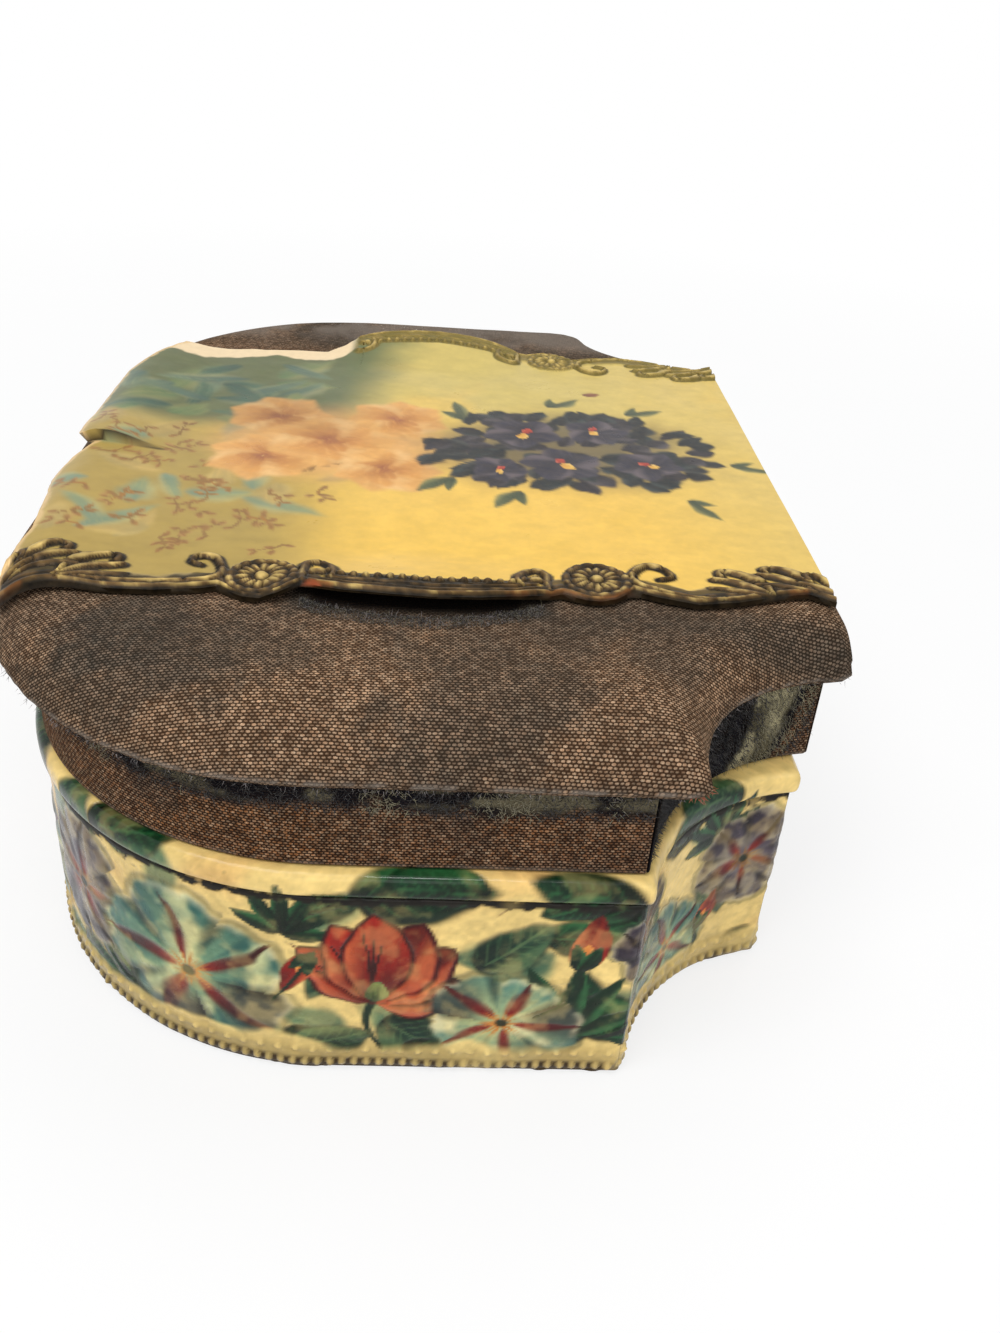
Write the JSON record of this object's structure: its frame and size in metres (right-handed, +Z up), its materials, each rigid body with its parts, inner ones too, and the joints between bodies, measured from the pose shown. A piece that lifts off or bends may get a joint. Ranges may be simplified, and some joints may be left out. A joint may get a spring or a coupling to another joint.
{
  "type": "jewelry box",
  "caption": "Hinged keepsake box with round front corners and coved back corners, celluloid faced base, plush covered lid and a printed panel with a relief border.",
  "frame": {"origin": "middle of the box's footprint, on the surface it stands on", "axes": "+Z up, +X to the user's right, +Y to the back where the hinges are, so the front faces -Y"},
  "size_m": [0.1496, 0.1118, 0.0562],
  "materials": {
    "printed_panel": "glossy printed celluloid sheet, yellow ground, worn bronze relief border",
    "celluloid": "glossy cream celluloid sheet with painted flowers and embossing",
    "bottom_paper": "matt brown covering paper",
    "satin": "aged gold satin",
    "plush": "worn brown plush, bare to its woven ground",
    "steel": "dull",
    "brass": "tarnished",
    "board": "raw strawboard and thin wood"
  },
  "bodies": {
    "base": {"bottom_paper": "bottom_paper", "floor_board": "board", "base_front_wall": "board", "base_right_wall": "board", "base_right_cove_wall": "board", "base_back_wall": "board", "base_left_cove_wall": "board", "base_left_wall": "board", "celluloid_front": "celluloid", "celluloid_right_cove": "celluloid", "celluloid_back": "celluloid", "celluloid_left_cove": "celluloid", "rim_band": "celluloid", "base_lining": "satin", "floor_pad": "satin", "catch_case": "steel", "catch_plate": "brass", "catch_spring": "steel", "hinge_left_lower_leaf": "brass", "hinge_left_pin": "steel", "hinge_right_lower_leaf": "brass", "hinge_right_pin": "steel"},
    "lid": {"hinge_left_upper_leaf": "brass", "hinge_right_upper_leaf": "brass", "lid_board": "board", "lid_plush": "plush", "skirt_front": "board", "skirt_right": "board", "skirt_right_cove": "board", "skirt_back": "board", "skirt_left_cove": "board", "skirt_left": "board", "skirt_cloth_front": "plush", "skirt_cloth_right_cove": "plush", "skirt_cloth_back": "plush", "skirt_cloth_left_cove": "plush", "lid_lining": "satin", "lid_pad": "satin", "lid_hook": "brass", "celluloid_panel": "printed_panel"},
    "button": {"catch_button": "brass"}
  },
  "joints": [
    {"name": "lid_hinge", "type": "hinge", "parent": "base", "child": "lid", "pos_m": [0, 0.0519, 0.0313], "axis": [-1, 0, 0], "range_deg": [0, 97]},
    {"name": "button_push", "type": "slide", "parent": "base", "child": "button", "axis": [0, 1, 0], "range_m": [0, 0.0012], "stiffness_N_per_m": 300, "springref_m": -0.0005, "deforming": ["catch_spring"]}
  ]
}
